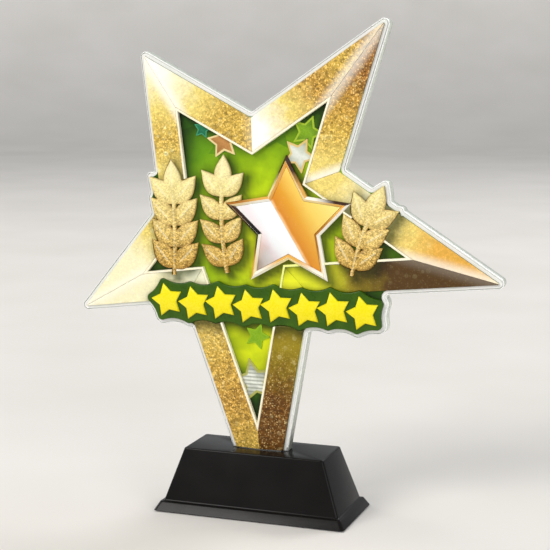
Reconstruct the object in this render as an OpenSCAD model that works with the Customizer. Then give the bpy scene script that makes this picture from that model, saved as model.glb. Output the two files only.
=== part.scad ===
// Star trophy: a clear acrylic star plaque with inlaid gold decoration, standing in the slot of a
// weighted plastic base. The origin is the middle of the foot pad, where it meets the table.
// +Z is up, the decorated face looks along -Y and +X is to its right. All sizes are millimetres.

/* [Star plaque] */
// Width of the acrylic star from side tip to side tip, before its tips are rounded
star_w = 182.4; // [150:0.1:230]
// Height of the acrylic star above the base, before its tips are rounded
star_h = 174.8; // [145:0.1:220]
// Thickness of the acrylic sheet
plaque_t = 5; // [3:0.1:8]
// Radius on the star's tips
tip_r = 2.2; // [1:0.1:4]
// Radius in the sheet's inside corners
notch_r = 1; // [0.5:0.1:2]
// Width of the tongue that goes into the base
tongue_w = 18; // [12:0.5:21]
// Length of the tongue that goes into the base
tongue_l = 14; // [8:0.5:16]

/* [Films] */
// Plain rim of the sheet outside the decoration
margin = 1.8; // [1:0.1:3]
// How far the white film stays inside the sheet's edge
film_inset = 0.7; // [0.3:0.1:0.9]
// Thickness of the white film
film_t = 0.2; // [0.1:0.05:0.4]
// Thickness of the green foil card
foil_t = 0.3; // [0.2:0.05:0.6]

/* [Gold frame] */
// Width of each frame bar
bar_w = 11.3; // [8:0.1:13]
// Height of a bar at its outer edge
bar_edge_h = 0.6; // [0.4:0.1:1.2]
// Height of a bar at its inner edge
bar_ridge_h = 1.5; // [1.2:0.1:2.5]
// Width of the cream strip inside the frame
trim_w = 0.9; // [0.6:0.1:1.5]
// Height of the cream strip
trim_h = 1.7; // [1.3:0.1:2.7]
// Gap between two inlaid pieces
inlay_gap = 0.1; // [0.05:0.01:0.2]
// Narrowest crumb that is left of a piece where others are let into it
crumb_w = 0.8; // [0.6:0.05:0.85]

/* [Laurel sprigs] */
// Thickness of the sprigs
sprig_h = 1.8; // [1.2:0.1:2.6]
// Length of a full-size leaf
leaf_l = 14.4; // [11:0.1:15]
// Width of a full-size leaf
leaf_w = 7.8; // [5:0.1:8]
// Width of a stem
stem_w = 1.8; // [1.2:0.1:2.4]
// Angle between a leaf and the stem
leaf_spread = 42; // [35:1:50]

/* [Centre star] */
// Radius to the points of the rim
centre_r = 27; // [22:0.1:29]
// Radius to the inner corners of the rim
centre_notch_r = 13.6; // [12:0.1:15]
// Width of the rim
rim_w = 1.9; // [1.4:0.1:2.6]
// Height of the rim
rim_h = 2.1; // [1.6:0.1:3]
// Thickness of the two polished faces
face_h = 1.4; // [1:0.1:2]

/* [Banner] */
// Number of small stars on the banner
banner_count = 8; // [8]
// Distance between two small stars
banner_pitch = 11.7; // [11.2:0.05:13]
// Radius to the points of a small star
banner_r = 7; // [6:0.1:7.2]
// Width of the green edge round the small stars
banner_edge = 1.9; // [1.5:0.1:3]
// Thickness of the banner plate
banner_h = 1.2; // [0.8:0.1:1.6]
// Thickness of the small stars
banner_star_h = 0.9; // [0.6:0.1:1.4]

/* [Accent stars] */
// Thickness of the accent stars in the green field
accent_h = 0.4; // [0.2:0.05:0.6]
// Radius on their points
accent_r = 0.2; // [0.1:0.05:0.3]

/* [Base] */
// Width of the skirt where it meets the table
base_w = 80; // [70:0.5:100]
// Depth of the skirt where it meets the table
base_d = 37.6; // [34:0.2:50]
// Width of the flat top
top_w = 58.5; // [50:0.5:68]
// Depth of the flat top
top_d = 23.3; // [20:0.1:30]
// Height of the flat top above the table
base_h = 25.6; // [24:0.1:34]
// Height of the skirt's ledge above the table
skirt_h = 3.95; // [3.5:0.05:5]
// How far the skirt leans in up to its ledge
skirt_lean = 2; // [1:0.1:2.5]
// Width of the ledge on top of the skirt
ledge_w = 1.2; // [0.6:0.1:1.6]
// Wall of the base shell
wall = 2; // [1.6:0.1:2.4]
// Gap round the tongue in its slot
slot_gap = 0.1; // [0.05:0.01:0.2]
// Wall and floor of the slot's socket
socket_wall = 1.5; // [1.2:0.1:2]
// Thickness of the glue under the tongue
glue_t = 0.6; // [0.3:0.1:1]

/* [Bottom] */
// Thickness of the foot pad
pad_t = 1.2; // [1:0.1:2]
// How far the pad stands out below the skirt
pad_proud = 0.6; // [0.4:0.1:0.9]
// Thickness of the bottom cover
cover_t = 2; // [1.6:0.1:2.4]
// Gap round the bottom cover
cover_gap = 0.2; // [0.1:0.05:0.4]
// Width of the ledge that the bottom cover rests on
seat_w = 1.7; // [1.2:0.1:2]
// Length of the steel ballast plate
ballast_l = 48; // [40:1:52]
// Width of the steel ballast plate
ballast_w = 20; // [16:1:21]
// Thickness of the steel ballast plate
ballast_t = 5; // [3:0.5:5]
// Thickness of the ballast's adhesive tape
tape_t = 0.5; // [0.3:0.1:0.8]
// Diameter of a cover screw's shank
screw_d = 2.6; // [2.2:0.1:3]
// Diameter of a cover screw's head
screw_head_d = 5; // [4.4:0.1:5.6]
// Length of a cover screw
screw_l = 8; // [6:0.5:9]
// Gap round a screw in its holes
screw_gap = 0.1; // [0.05:0.05:0.2]
// Diameter of a screw boss
boss_d = 6.4; // [5.8:0.1:7]

/* [Hidden] */
$fn = 48;
eps = 0.01;

// Tips and notches of the star, clockwise from the upper left tip, as shares of star_w across and
// of star_h above the base. The lowest tip lies under the base, so only its two legs are seen.
TIPS = [[-0.2791, 0.9085], [0.2922, 0.9886], [0.5537, 0.4016], [0.0236, -0.2477], [-0.4419, 0.2929]];
NOTCHES = [[-0.0192, 0.766], [0.1902, 0.6442], [0.1228, 0.3553], [-0.1793, 0.3278], [-0.2374, 0.5549]];

function place(share) = [share[0] * star_w, base_h + share[1] * star_h];
CORNERS = [for (i = [0 : 9]) place(i % 2 == 0 ? TIPS[i / 2] : NOTCHES[(i - 1) / 2])];

// Layers of the decoration, as distances in front of the acrylic sheet
art_y = film_t + foil_t;
// Corners of the frame: outside of the bars, between bars and strip, inside of the strip
frame_out = margin;
frame_mid = margin + bar_w;
frame_in = frame_mid + trim_w;

// Middle of the centre star and the way its top point leans
centre = place([0.0663, 0.5192]);
centre_turn = 91.5;
// The centre star is split by a line through its middle at this angle
split_angle = -58.5;
split_shift = -1.2;

// The middle of the banner and the way its stars lean
banner_mid = place([0.0104, 0.3318]);
banner_turn = 104;
banner_ratio = 0.56;

// Sprigs: foot and tip of the stem, how far its middle bows sideways, pairs of leaves
SPRIGS = [
    [place([-0.1974, 0.3936]), place([-0.205, 0.6579]), -0.8, 4, 1.03],
    [place([-0.0735, 0.4039]), place([-0.0773, 0.6716]), 2, 4, 0.92],
    [place([0.2083, 0.4125]), place([0.2818, 0.6104]), 1.8, 3, 1]
];

// Accent stars: middle, radius, turn
ACCENTS = [
    [place([-0.082, 0.7]), 7.2, 98],
    [place([-0.13, 0.727]), 4, 80],
    [place([0.108, 0.724]), 7, 70],
    [place([0.09, 0.674]), 7.4, 62],
    [place([-0.012, 0.158]), 9.6, 104],
    [place([-0.005, 0.262]), 5.6, 72]
];

// Heights in the base
rim_z = pad_proud;
body_foot = [base_w - 2 * skirt_lean - 2 * ledge_w, base_d - 2 * skirt_lean - 2 * ledge_w];
seat_z = pad_t + cover_t;
tongue_end_z = base_h - tongue_l;
socket_floor_z = tongue_end_z - glue_t;
cover_w = top_inner(seat_z)[0] + 2 * seat_w - 2 * cover_gap;
cover_d = top_inner(seat_z)[1] + 2 * seat_w - 2 * cover_gap;
boss_x = top_inner(seat_z)[0] / 2 - boss_d / 2 - 0.4;
boss_y = top_inner(seat_z)[1] / 2 - boss_d / 2 - 0.4;
boss_top_z = seat_z + screw_l + 1.5;
pad_gap = 0.6;

// ---- Outlines, drawn with X across and Y up the plaque ----

// Moves a drawing into the plaque's plane: its back lies this far in front of the acrylic sheet
module in_front(back, thick) {
    translate([0, -plaque_t / 2 - back, 0]) rotate([90, 0, 0]) linear_extrude(thick) children();
}

// Inward normal of the edge from a to b of a clockwise outline
function inward(a, b) = let (t = (b - a) / norm(b - a)) [t[1], -t[0]];

// Corner i of the star when every edge is moved in by d
function inset_corner(i, d) =
    let (p = CORNERS[i % 10],
         n1 = inward(CORNERS[(i + 9) % 10], p),
         n2 = inward(p, CORNERS[(i + 1) % 10]))
    p + d * (n1 + n2) / (1 + n1 * n2);

module star_inset(d) {
    polygon([for (i = [0 : 9]) inset_corner(i, d)]);
}

module above_base(gap = 0) {
    translate([-2 * star_w, base_h + gap]) square([4 * star_w, 2 * star_h]);
}

// Points of a regular five-pointed star
function star_points(r_tip, r_notch, turn) =
    [for (i = [0 : 9]) (i % 2 == 0 ? r_tip : r_notch) * [cos(turn + 36 * i), sin(turn + 36 * i)]];

module small_star(r, ratio, turn) {
    polygon(star_points(r, r * ratio, turn));
}

// A leaf that points along +X from its stalk at the origin
module leaf(l, w) {
    steps = 10;
    rise = [for (i = [0 : steps]) let (s = i / steps) [l * s, w / 2 * sin(180 * pow(s, 0.8))]];
    fall = [for (i = [steps - 1 : -1 : 1]) [rise[i][0], -rise[i][1]]];
    polygon(concat(rise, fall));
}

// A stem is a bowed line from its foot to its tip
function side_of(foot, tip) = let (t = (tip - foot) / norm(tip - foot)) [-t[1], t[0]];
function stem_point(sprig, s) =
    sprig[0] + s * (sprig[1] - sprig[0]) + 4 * s * (1 - s) * sprig[2] * side_of(sprig[0], sprig[1]);
function stem_angle(sprig, s) =
    let (d = stem_point(sprig, s + eps) - stem_point(sprig, s - eps)) atan2(d[1], d[0]);

module sprig_outline(k) {
    sprig = SPRIGS[k];
    pairs = sprig[3];
    size = sprig[4];
    last = 1 - leaf_l * size / norm(sprig[1] - sprig[0]);
    stem_steps = 8;
    stem = [for (i = [0 : stem_steps]) stem_point(sprig, last * i / stem_steps)];
    half = [for (i = [0 : stem_steps])
        let (a = stem_angle(sprig, last * i / stem_steps) + 90) stem_w / 2 * [cos(a), sin(a)]];
    polygon(concat([for (i = [0 : stem_steps]) stem[i] + half[i]],
                   [for (i = [stem_steps : -1 : 0]) stem[i] - half[i]]));
    for (p = [0 : pairs - 1], side = [-1, 1]) {
        s = last * (p + 0.3) / (pairs - 0.35);
        translate(stem_point(sprig, s))
            rotate(stem_angle(sprig, s) + side * leaf_spread)
                leaf(leaf_l * size, leaf_w * size);
    }
    translate(stem_point(sprig, last) - eps * [0, 1])
        rotate(stem_angle(sprig, last)) leaf(leaf_l * size, leaf_w * size);
}

module centre_outline(inset = 0) {
    translate(centre)
        offset(delta = -inset) polygon(star_points(centre_r, centre_notch_r, centre_turn));
}

function banner_x(k) = banner_mid[0] + (k - (banner_count + 1) / 2) * banner_pitch;
function banner_y(k) = banner_mid[1] + (k % 2 == 0 ? -0.35 : 0.35);

module banner_star_outline(k) {
    translate([banner_x(k), banner_y(k)]) small_star(banner_r, banner_ratio, banner_turn);
}

module banner_outline() {
    smooth = 12;
    offset(r = -smooth) offset(r = smooth + banner_edge)
        for (k = [1 : banner_count]) banner_star_outline(k);
}

// The star, the banner and the two outer sprigs with the plain rim round them
module art_outline() {
    smooth = 4;
    offset(r = tip_r) star_inset(tip_r);
    offset(r = margin) banner_outline();
    for (k = [0, 2]) offset(r = margin - smooth) offset(r = smooth) sprig_outline(k);
}

module sheet_outline(inset = 0) {
    intersection() {
        offset(delta = -inset) offset(r = -notch_r) offset(delta = notch_r) art_outline();
        above_base(inset > 0 ? 0.2 : 0);
    }
}

// What lies over the frame, the strip and the field: the pieces are let in beside each other
module over_frame() {
    offset(delta = inlay_gap) banner_outline();
    centre_cut();
    for (k = [0 : 2]) sprig_cut(k);
}

// The cut round a sprig, with the narrow gaps between its leaves closed
module sprig_cut(k) {
    offset(delta = inlay_gap) sprig_outline(k);
    offset(delta = inlay_gap - crumb_w / 2, chamfer = true)
        offset(delta = crumb_w / 2, chamfer = true) sprig_outline(k);
}

// Leaves out the crumbs of an outline
module without_crumbs() {
    intersection() {
        children();
        offset(delta = crumb_w / 2) offset(delta = -crumb_w / 2, chamfer = true) children();
    }
}

module centre_cut() {
    offset(delta = inlay_gap) centre_outline();
}

// ---- Plaque and films ----

module star_plaque() {
    color([0.93, 0.95, 0.92, 0.5])
        translate([0, plaque_t / 2, 0]) rotate([90, 0, 0]) linear_extrude(plaque_t) {
            sheet_outline();
            translate([-tongue_w / 2, tongue_end_z]) square([tongue_w, tongue_l + eps]);
        }
}

module white_film() {
    color("white") in_front(0, film_t) sheet_outline(film_inset);
}

module green_foil() {
    color("yellowgreen") in_front(film_t, foil_t) sheet_outline(margin);
}

// ---- Gold frame ----

// A bar runs from corner i to the next one, low at its outer edge and high at its inner edge
module frame_bar(i) {
    a = inset_corner(i, frame_out);
    b = inset_corner(i + 1, frame_out);
    c = inset_corner(i + 1, frame_mid);
    d = inset_corner(i, frame_mid);
    y0 = -plaque_t / 2 - art_y;
    front = [[a, bar_edge_h], [b, bar_edge_h], [c, bar_ridge_h], [d, bar_ridge_h]];
    back_points = [for (p = front) [p[0][0], y0, p[0][1]]];
    front_points = [for (p = front) [p[0][0], y0 - p[1], p[0][1]]];
    color("goldenrod")
        intersection() {
            polyhedron(concat(back_points, front_points),
                [[3, 2, 1, 0], [4, 5, 6], [4, 6, 7],
                 [0, 1, 5, 4], [1, 2, 6, 5], [2, 3, 7, 6], [3, 0, 4, 7]]);
            in_front(art_y - eps, bar_ridge_h + 1) without_crumbs()
                difference() {
                    intersection() {
                        offset(delta = -inlay_gap / 2) polygon([a, b, c, d]);
                        sheet_outline(margin);
                    }
                    over_frame();
                }
        }
}

module inner_trim() {
    color("lightyellow")
        in_front(art_y, trim_h) without_crumbs()
            difference() {
                intersection() {
                    star_inset(frame_mid + inlay_gap / 2);
                    sheet_outline(margin);
                }
                star_inset(frame_in);
                over_frame();
            }
}

// ---- Sprigs ----

module sprig(k) {
    color("khaki")
        in_front(art_y, sprig_h)
            difference() {
                sprig_outline(k);
                offset(delta = inlay_gap) banner_outline();
                centre_cut();
            }
}

module sprig_left() { sprig(0); }
module sprig_middle() { sprig(1); }
module sprig_right() { sprig(2); }

// ---- Centre star ----

module centre_star_rim() {
    color("gold")
        in_front(art_y, rim_h)
            difference() {
                centre_outline();
                centre_outline(rim_w);
                offset(delta = inlay_gap) banner_outline();
            }
}

// One side of the split line, which runs through the centre star at split_angle
module split_side(side) {
    far = 2 * centre_r;
    translate(centre) rotate(split_angle)
        translate([-far, side > 0 ? split_shift + inlay_gap / 2 : split_shift - inlay_gap / 2 - far])
            square([2 * far, far]);
}

module centre_face(side) {
    in_front(art_y, face_h)
        difference() {
            intersection() {
                centre_outline(rim_w + inlay_gap);
                split_side(side);
            }
            offset(delta = inlay_gap) banner_outline();
        }
}

module centre_face_silver() { color("gainsboro") centre_face(-1); }
module centre_face_gold() { color("orange") centre_face(1); }

// ---- Banner ----

module banner_plate() {
    color("darkgreen") in_front(art_y, banner_h) banner_outline();
}

module banner_star(k) {
    color("yellow") in_front(art_y + banner_h, banner_star_h) banner_star_outline(k);
}

// ---- Accent stars in the green field ----

module accent(k, hue) {
    star = ACCENTS[k];
    color(hue)
        in_front(art_y, accent_h)
            offset(r = accent_r, $fn = 16) offset(delta = -accent_r) difference() {
                intersection() {
                    translate(star[0]) small_star(star[1], 0.5, star[2]);
                    star_inset(frame_in + inlay_gap);
                }
                over_frame();
                if (k == 2) offset(delta = inlay_gap)
                    translate(ACCENTS[3][0]) small_star(ACCENTS[3][1], 0.5, ACCENTS[3][2]);
                if (k == 1) offset(delta = inlay_gap)
                    translate(ACCENTS[0][0]) small_star(ACCENTS[0][1], 0.5, ACCENTS[0][2]);
            }
}

module accent_copper() { accent(0, "peru"); }
module accent_teal() { accent(1, "teal"); }
module accent_lime() { accent(2, "olivedrab"); }
module accent_silver_top() { accent(3, "silver"); }
module accent_silver_low() { accent(4, "silver"); }
module accent_green() { accent(5, "limegreen"); }

// ---- Base ----

// A block with four leaning sides, from z0 to z1
module taper(foot, top, z0, z1) {
    intersection() {
        rotate([90, 0, 0]) linear_extrude(2 * base_d, center = true)
            polygon([[-foot[0] / 2, z0], [foot[0] / 2, z0], [top[0] / 2, z1], [-top[0] / 2, z1]]);
        rotate([90, 0, 90]) linear_extrude(2 * base_w, center = true)
            polygon([[-foot[1] / 2, z0], [foot[1] / 2, z0], [top[1] / 2, z1], [-top[1] / 2, z1]]);
    }
}

// Width and depth of the shell's cavity at height z
function top_inner(z) =
    let (s = (z - skirt_h) / (base_h - skirt_h), cut = 2 * wall)
    [body_foot[0] + s * (top_w - body_foot[0]) - cut, body_foot[1] + s * (top_d - body_foot[1]) - cut];

module rounded_rect(w, d, r) {
    offset(r = r) square([w - 2 * r, d - 2 * r], center = true);
}

module at_screws() {
    for (x = [-boss_x, boss_x], y = [-boss_y, boss_y]) translate([x, y, 0]) children();
}

module base_shell() {
    roof_z = base_h - wall;
    slot = [tongue_w + 2 * slot_gap, plaque_t + 2 * slot_gap];
    socket = slot + 2 * socket_wall * [1, 1];
    color([0.13, 0.12, 0.12])
        difference() {
            union() {
                difference() {
                    union() {
                        taper([base_w, base_d], [base_w, base_d] - 2 * skirt_lean * [1, 1], rim_z, skirt_h);
                        taper(body_foot, [top_w, top_d], skirt_h, base_h);
                    }
                    taper(top_inner(seat_z), top_inner(roof_z), seat_z - eps, roof_z);
                }
                intersection() {
                    union() {
                        at_screws() translate([0, 0, seat_z]) cylinder(d = boss_d, h = boss_top_z - seat_z);
                        translate([-socket[0] / 2, -socket[1] / 2, socket_floor_z - socket_wall])
                            cube([socket[0], socket[1], base_h - wall / 2 - socket_floor_z + socket_wall]);
                    }
                    taper(top_inner(seat_z) + wall * [1, 1], top_inner(roof_z) + wall * [1, 1], seat_z, base_h);
                }
            }
            // Pocket for the bottom cover
            translate([0, 0, rim_z - 1]) linear_extrude(seat_z - rim_z + 1)
                square([cover_w + 2 * cover_gap, cover_d + 2 * cover_gap], center = true);
            // Slot for the tongue
            translate([-slot[0] / 2, -slot[1] / 2, socket_floor_z])
                cube([slot[0], slot[1], base_h - socket_floor_z + 1]);
            // Pilot holes for the cover screws
            at_screws() translate([0, 0, seat_z - 1])
                cylinder(d = screw_d + 2 * screw_gap, h = screw_l - cover_t + 1.5);
        }
}

// ---- Bottom ----

module bottom_cover() {
    head_h = (screw_head_d - screw_d) / 2;
    color([0.1, 0.1, 0.1])
        difference() {
            translate([-cover_w / 2, -cover_d / 2, pad_t]) cube([cover_w, cover_d, cover_t]);
            at_screws() {
                translate([0, 0, pad_t - 1]) cylinder(d = screw_d + 2 * screw_gap, h = cover_t + 2);
                translate([0, 0, pad_t - eps])
                    cylinder(d1 = screw_head_d + 2 * screw_gap, d2 = screw_d + 2 * screw_gap, h = head_h);
            }
        }
}

module cover_screws() {
    head_h = (screw_head_d - screw_d) / 2;
    color("dimgray")
        at_screws() translate([0, 0, pad_t]) {
            cylinder(d1 = screw_head_d, d2 = screw_d, h = head_h);
            cylinder(d = screw_d, h = screw_l);
        }
}

module ballast_tape() {
    color("gray") translate([0, 0, seat_z + tape_t / 2])
        cube([ballast_l - 4, ballast_w - 4, tape_t], center = true);
}

module ballast_plate() {
    color("silver") translate([0, 0, seat_z + tape_t + ballast_t / 2])
        cube([ballast_l, ballast_w, ballast_t], center = true);
}

module slot_adhesive() {
    color("white") translate([0, 0, socket_floor_z + glue_t / 2])
        cube([tongue_w, plaque_t, glue_t], center = true);
}

module foot_pad() {
    color([0.2, 0.2, 0.2]) linear_extrude(pad_t)
        rounded_rect(cover_w - 2 * pad_gap, cover_d - 2 * pad_gap, 2);
}

star_plaque();
white_film();
green_foil();
frame_bar(0);  // frame_bar_1
frame_bar(1);  // frame_bar_2
frame_bar(2);  // frame_bar_3
frame_bar(3);  // frame_bar_4
frame_bar(4);  // frame_bar_5
frame_bar(5);  // frame_bar_6
frame_bar(6);  // frame_bar_7
frame_bar(7);  // frame_bar_8
frame_bar(8);  // frame_bar_9
frame_bar(9);  // frame_bar_10
inner_trim();
sprig_left();
sprig_middle();
sprig_right();
centre_star_rim();
centre_face_silver();
centre_face_gold();
banner_plate();
banner_star(1);  // banner_star_1
banner_star(2);  // banner_star_2
banner_star(3);  // banner_star_3
banner_star(4);  // banner_star_4
banner_star(5);  // banner_star_5
banner_star(6);  // banner_star_6
banner_star(7);  // banner_star_7
banner_star(8);  // banner_star_8
accent_copper();
accent_teal();
accent_lime();
accent_silver_top();
accent_silver_low();
accent_green();
base_shell();
bottom_cover();
cover_screws();
ballast_plate();
ballast_tape();
slot_adhesive();
foot_pad();
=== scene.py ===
import math
import bmesh
import bpy
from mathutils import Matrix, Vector
from mathutils.bvhtree import BVHTree


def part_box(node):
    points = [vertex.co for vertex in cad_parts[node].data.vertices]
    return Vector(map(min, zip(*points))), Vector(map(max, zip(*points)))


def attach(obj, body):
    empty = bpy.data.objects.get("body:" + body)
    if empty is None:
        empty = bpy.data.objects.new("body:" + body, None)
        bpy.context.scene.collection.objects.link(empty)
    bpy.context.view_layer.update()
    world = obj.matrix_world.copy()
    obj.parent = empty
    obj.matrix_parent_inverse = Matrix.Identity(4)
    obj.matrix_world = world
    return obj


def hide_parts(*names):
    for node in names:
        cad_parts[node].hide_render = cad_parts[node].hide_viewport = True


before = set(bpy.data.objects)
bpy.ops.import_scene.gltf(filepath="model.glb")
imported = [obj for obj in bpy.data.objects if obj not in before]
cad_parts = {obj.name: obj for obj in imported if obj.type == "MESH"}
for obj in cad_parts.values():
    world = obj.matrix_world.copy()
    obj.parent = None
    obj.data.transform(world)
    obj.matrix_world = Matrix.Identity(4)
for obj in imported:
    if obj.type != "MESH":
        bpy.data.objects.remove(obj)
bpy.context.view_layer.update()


# ---- Studio ----
# A pale paper floor that curves up into a pale backdrop all round, and four soft lamps. The camera
# stands to the trophy's right and looks slightly down on it.
MM = 0.001


def add_node(material, kind, inputs=None, **settings):
    """A node of that kind. An input is a plain value or another node's output."""
    made = material.node_tree.nodes.new(kind)
    for setting, value in settings.items():
        setattr(made, setting, value)
    for socket, value in (inputs or {}).items():
        if isinstance(value, bpy.types.NodeSocket):
            material.node_tree.links.new(value, made.inputs[socket])
        else:
            made.inputs[socket].default_value = value
    return made


def new_material(name, values):
    """A material whose Principled shader has these plain values"""
    material = bpy.data.materials.new(name)
    material.use_nodes = True
    shader = material.node_tree.nodes["Principled BSDF"]
    for socket, value in values.items():
        shader.inputs[socket].default_value = value
    return material, shader


def feed(material, output, shader, socket):
    material.node_tree.links.new(output, shader.inputs[socket])


def place(material):
    """Where a point of the surface is, in the trophy's own frame"""
    return add_node(material, "ShaderNodeTexCoord").outputs["Object"]


def noise(material, size, detail=2.0, where=None):
    """Soft noise from 0 to 1 in patches of that size"""
    inputs = {"Vector": where or place(material), "Scale": 1 / size, "Detail": detail}
    return add_node(material, "ShaderNodeTexNoise", inputs).outputs["Fac"]


def rgb(code, alpha=1.0):
    """A six-figure hex colour as linear light"""
    parts = [int(code[k:k + 2], 16) / 255 for k in (0, 2, 4)]
    return (*(c / 12.92 if c <= 0.04045 else ((c + 0.055) / 1.055) ** 2.4 for c in parts), alpha)


def stops_on(material, factor, stops, smooth=False):
    """A colour ramp. A stop is a place from 0 to 1 and a colour in linear light."""
    made = add_node(material, "ShaderNodeValToRGB", {"Fac": factor})
    made.color_ramp.interpolation = "EASE" if smooth else "LINEAR"
    elements = made.color_ramp.elements
    elements.remove(elements[1])
    for number, (spot, colour) in enumerate(stops):
        element = elements[0] if number == 0 else elements.new(spot)
        element.position = spot
        element.color = colour
    return made


def ramp(material, factor, stops):
    """A ramp of colours. A stop is a place, a hex colour and at times an alpha."""
    return stops_on(material, factor, [(spot, rgb(*colour)) for spot, *colour in stops])


def levels(material, factor, stops, smooth=False):
    """A ramp of plain numbers"""
    grey = [(spot, (value, value, value, 1)) for spot, value in stops]
    return stops_on(material, factor, grey, smooth).outputs["Color"]


def gloss(material, shader, size, low, high, detail=2.0):
    """Roughness that drifts from low to high in soft patches of that size"""
    patches = levels(material, noise(material, size, detail), [(0.3, low), (0.7, high)])
    feed(material, patches, shader, "Roughness")


def bump(material, shader, height, strength, distance):
    inputs = {"Height": height, "Strength": strength, "Distance": distance}
    feed(material, add_node(material, "ShaderNodeBump", inputs).outputs["Normal"], shader, "Normal")


def show(name, shape, finish, sharp=32):
    """Turns a finished bmesh into an object, smooth except at edges sharper than that angle"""
    mesh = bpy.data.meshes.new(name)
    shape.to_mesh(mesh)
    shape.free()
    mesh.materials.append(finish)
    mesh.shade_smooth()
    mesh.set_sharp_from_angle(angle=math.radians(sharp))
    made = bpy.data.objects.new(name, mesh)
    scene.collection.objects.link(made)
    return made


scene = bpy.context.scene
scene.view_settings.view_transform = "Standard"

paper, paper_shader = new_material("studio_paper", {"Roughness": 0.75, "Specular IOR Level": 0.25})
paper_tone = ramp(paper, noise(paper, 0.12), [(0.3, "e4e0da"), (0.7, "eae6e1")])
feed(paper, paper_tone.outputs["Color"], paper_shader, "Base Color")
bump(paper, paper_shader, noise(paper, 0.6 * MM, 4), 0.05, 0.2 * MM)

FLOOR_R = 2.2
FLOOR_SEGMENTS = 96
COVE_R = 0.9
WALL_TOP = 3.2
shape = bmesh.new()
bmesh.ops.create_circle(shape, cap_ends=True, radius=FLOOR_R, segments=FLOOR_SEGMENTS)
floor = show("floor", shape, paper)

shape = bmesh.new()
bmesh.ops.create_circle(shape, radius=FLOOR_R, segments=FLOOR_SEGMENTS)
edges = shape.edges[:]
for angle in range(10, 91, 10):
    grown = bmesh.ops.extrude_edge_only(shape, edges=edges)["geom"]
    edges = [e for e in grown if isinstance(e, bmesh.types.BMEdge)]
    radius = FLOOR_R + COVE_R * math.sin(math.radians(angle))
    for v in (v for v in grown if isinstance(v, bmesh.types.BMVert)):
        v.co = Vector((v.co.x, v.co.y, 0)).normalized() * radius
        v.co.z = COVE_R * (1 - math.cos(math.radians(angle)))
grown = bmesh.ops.extrude_edge_only(shape, edges=edges)["geom"]
for v in (v for v in grown if isinstance(v, bmesh.types.BMVert)):
    v.co.z = WALL_TOP
bmesh.ops.reverse_faces(shape, faces=shape.faces)
lit_paper, lit_shader = new_material("lit_backdrop", {"Roughness": 0.75, "Specular IOR Level": 0.25})
lit_tone = ramp(lit_paper, noise(lit_paper, 0.12), [(0.3, "e4e0da"), (0.7, "eae6e1")])
feed(lit_paper, lit_tone.outputs["Color"], lit_shader, "Base Color")
# The backdrop glows more the higher it rises: painted light that keeps the wall pale
feed(lit_paper, lit_tone.outputs["Color"], lit_shader, "Emission Color")
height = add_node(lit_paper, "ShaderNodeSeparateXYZ", {0: place(lit_paper)}).outputs["Z"]
feed(lit_paper, levels(lit_paper, height, [(0.0, 0.0), (0.6, 0.34)]), lit_shader, "Emission Strength")
backdrop = show("backdrop", shape, lit_paper)
backdrop.visible_diffuse = False
backdrop.visible_glossy = False
backdrop.visible_shadow = False

world = bpy.data.worlds.new("soft_room")
world.use_nodes = True
world.node_tree.nodes["Background"].inputs["Color"].default_value = (0.96, 0.98, 1.0, 1)
world.node_tree.nodes["Background"].inputs["Strength"].default_value = 0.45
scene.world = world

# Place, size, power and tint of each lamp, and the spot that they all point at
LAMP_AIM = Vector((0, 0, 0.1))
LAMPS = {
    "key": ((-0.9, -1.3, 1.3), 0.9, 22, (1.0, 0.98, 0.95)),
    "fill": ((1.3, -1.0, 0.6), 0.8, 8, (0.98, 0.99, 1.0)),
    "back": ((0.6, 1.2, 1.2), 0.8, 10, (1.0, 1.0, 1.0)),
    "side": ((-1.5, 0.4, 0.6), 0.6, 5, (1.0, 0.99, 0.97)),
}
for name, (spot, size, power, tint) in LAMPS.items():
    data = bpy.data.lights.new(name, "AREA")
    data.size = size
    data.energy = power
    data.color = tint
    lamp = bpy.data.objects.new(name, data)
    lamp.location = spot
    lamp.rotation_mode = "QUATERNION"
    lamp.rotation_quaternion = (Vector(spot) - LAMP_AIM).to_track_quat("Z", "Y")
    scene.collection.objects.link(lamp)

CAMERA_SPOT = Vector((0.19907, -0.53966, 0.18284))
CAMERA_AIM = Vector((0.00537, 0, 0.09575))
CAMERA_LENS = 96.4
camera_data = bpy.data.cameras.new("camera")
camera_data.lens = CAMERA_LENS
camera_data.sensor_width = 36
camera_data.clip_start = 0.01
camera = bpy.data.objects.new("camera", camera_data)
camera.location = CAMERA_SPOT
camera.rotation_mode = "QUATERNION"
camera.rotation_quaternion = (CAMERA_SPOT - CAMERA_AIM).to_track_quat("Z", "Y")
scene.collection.objects.link(camera)
scene.camera = camera


# ---- Acrylic plaque ----
# A star cut by laser from clear 5 mm acrylic sheet, with a plain tongue below it for the base. Its
# cut edges are eased and polished, and a painted highlight makes their eased faces a thin near-white line.
EASED_EDGE = 0.3 * MM


def from_cad(node):
    """A copy of a CAD node with its triangles joined into whole faces"""
    shape = bmesh.new()
    shape.from_mesh(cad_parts[node].data)
    bmesh.ops.remove_doubles(shape, verts=shape.verts, dist=0.002 * MM)
    bmesh.ops.dissolve_limit(shape, angle_limit=math.radians(1), verts=shape.verts, edges=shape.edges)
    return shape


def outline(shape, front=True, back=False):
    """The edges round the front or the back of a flat piece"""
    def caps(e):
        return [f for f in e.link_faces if (front and f.normal.y < -0.95) or (back and f.normal.y > 0.95)]
    return [e for e in shape.edges if len(caps(e)) == 1]


def ease(shape, edges, radius, segments=2):
    """Rounds edges, or with one segment cuts them back at an angle"""
    bmesh.ops.bevel(shape, geom=edges, offset=radius, offset_type="OFFSET", segments=segments,
                    profile=0.5, affect="EDGES", material=-1, clamp_overlap=False)


def fit(piece, slot, *nodes):
    """Fixes a piece to the trophy. It takes the place of these CAD nodes."""
    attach(piece, "root")
    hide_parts(*nodes)


def calc(material, operation, a, b=0.0):
    return add_node(material, "ShaderNodeMath", {0: a, 1: b}, operation=operation).outputs[0]


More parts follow.
